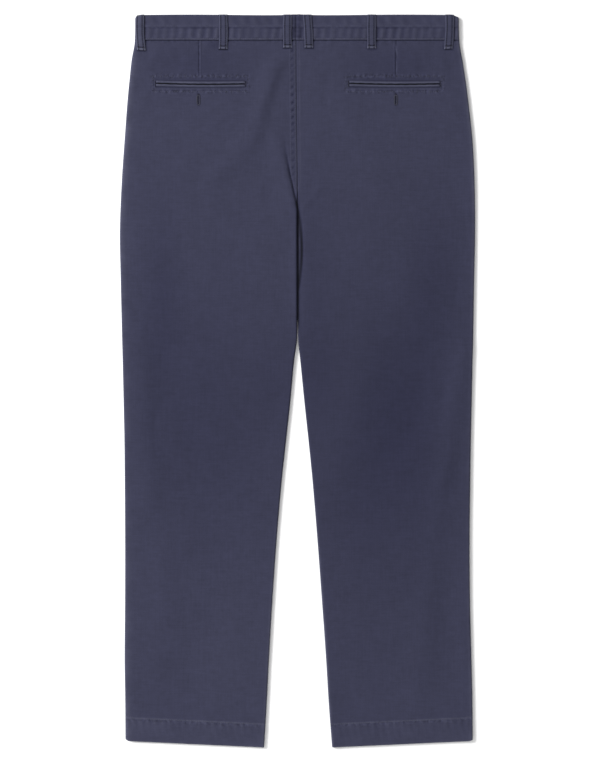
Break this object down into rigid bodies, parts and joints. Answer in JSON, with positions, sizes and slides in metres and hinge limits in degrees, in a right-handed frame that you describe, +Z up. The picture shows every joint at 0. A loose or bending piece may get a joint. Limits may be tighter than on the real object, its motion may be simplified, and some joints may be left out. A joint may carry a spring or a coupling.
{
  "type": "chino trousers",
  "caption": "Straight-leg navy chino trousers laid flat, back up, with a belt-looped waistband, centre back seam, darts and double-welt back pockets.",
  "frame": {"origin": "centre of the bounding box, on the surface that the trousers lie on", "axes": "+Y along the garment from hems to waist, +Z up from the surface towards the back of the trousers, +X to the right as the back is seen with the waist up"},
  "size_m": [0.5296, 1.0934, 0.0087],
  "materials": {
    "navy_twill": "garment-dyed cotton twill, matt with a soft nap",
    "navy_thread": "closely worked cotton-polyester thread",
    "zip_tape": "woven tape with a moulded chain",
    "button_resin": "satin resin"
  },
  "bodies": {
    "root": {"front_left": "navy_twill", "front_right": "navy_twill", "side_pocket_left": "navy_twill", "side_pocket_right": "navy_twill", "back_left": "navy_twill", "back_right": "navy_twill", "waistband_left": "navy_twill", "waistband_right": "navy_twill", "welt_upper_left": "navy_twill", "welt_lower_left": "navy_twill", "welt_upper_right": "navy_twill", "welt_lower_right": "navy_twill", "buttonhole_left": "navy_thread", "buttonhole_right": "navy_thread", "belt_loop_front_left": "navy_twill", "belt_loop_front_right": "navy_twill", "belt_loop_side_left": "navy_twill", "belt_loop_back_left": "navy_twill", "belt_loop_centre_left": "navy_twill", "belt_loop_centre_right": "navy_twill", "belt_loop_back_right": "navy_twill", "belt_loop_side_right": "navy_twill", "fly_zip": "zip_tape", "waist_button": "button_resin"}
  },
  "joints": []
}
